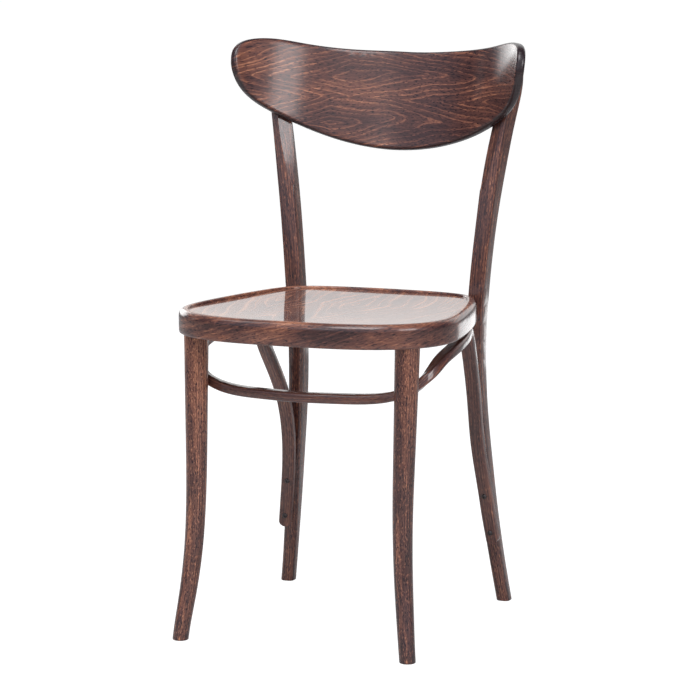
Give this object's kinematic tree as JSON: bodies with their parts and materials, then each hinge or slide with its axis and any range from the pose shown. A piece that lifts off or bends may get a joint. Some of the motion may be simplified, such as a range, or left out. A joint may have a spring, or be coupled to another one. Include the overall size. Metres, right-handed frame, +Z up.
{
  "type": "side chair",
  "caption": "Side chair in dark stained wood: bent seat ring with a dished panel, turned front legs, bent rear posts, a wide moulded backrest and a bent stretcher bow.",
  "frame": {"origin": "on the floor, under the middle of the chair's bounding box", "axes": "+Z up, +Y from the seat's front edge towards the backrest, +X to the right of a viewer who faces the chair"},
  "size_m": [0.4562, 0.4762, 0.8298],
  "materials": {
    "stained_wood": "semi-gloss lacquer",
    "stained_veneer": "gloss lacquer",
    "dark_screws": "blackened"
  },
  "bodies": {
    "root": {"seat_ring": "stained_wood", "front_leg_left": "stained_wood", "front_leg_right": "stained_wood", "rear_post_left": "stained_wood", "rear_post_right": "stained_wood", "stretcher_bow": "stained_wood", "seat_panel": "stained_veneer", "backrest": "stained_veneer", "backrest_screws": "dark_screws", "seat_bolts": "dark_screws", "bow_post_screws": "dark_screws", "bow_leg_screws": "dark_screws", "bow_ring_screws": "dark_screws"}
  },
  "joints": []
}
